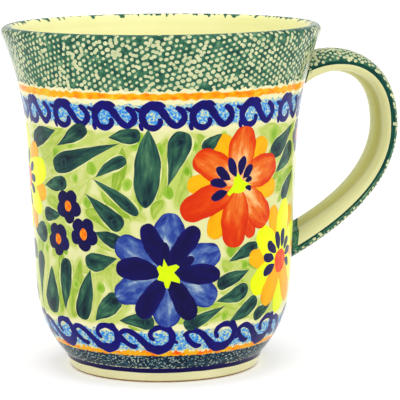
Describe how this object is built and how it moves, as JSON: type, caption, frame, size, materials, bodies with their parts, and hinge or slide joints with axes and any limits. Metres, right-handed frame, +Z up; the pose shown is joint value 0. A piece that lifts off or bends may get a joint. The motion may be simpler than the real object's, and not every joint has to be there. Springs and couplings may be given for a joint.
{
  "type": "stoneware mug",
  "caption": "Glazed stoneware mug with a flared rim, a turned foot and a pulled strap handle, painted all over with flowers and leaves.",
  "frame": {"origin": "on the cup's axis, at the plane that the foot stands on", "axes": "+Z up along the cup's axis, +X towards the handle, +Y across the handle"},
  "size_m": [0.134, 0.1026, 0.111],
  "materials": {
    "bare_stoneware": "unglazed fired clay, matt",
    "inside_glaze": "clear gloss glaze over cream clay",
    "painted_glaze": "clear gloss glaze over painted colours on cream clay",
    "handle_glaze": "clear gloss glaze over sponged green on cream clay",
    "joint_glaze": "clear gloss glaze over a painted green line"
  },
  "bodies": {
    "root": {"cup_body": "bare_stoneware", "inner_glaze": "inside_glaze", "outer_glaze": "painted_glaze", "handle": "handle_glaze", "upper_joint_slip": "joint_glaze", "lower_joint_slip": "joint_glaze"}
  },
  "joints": []
}
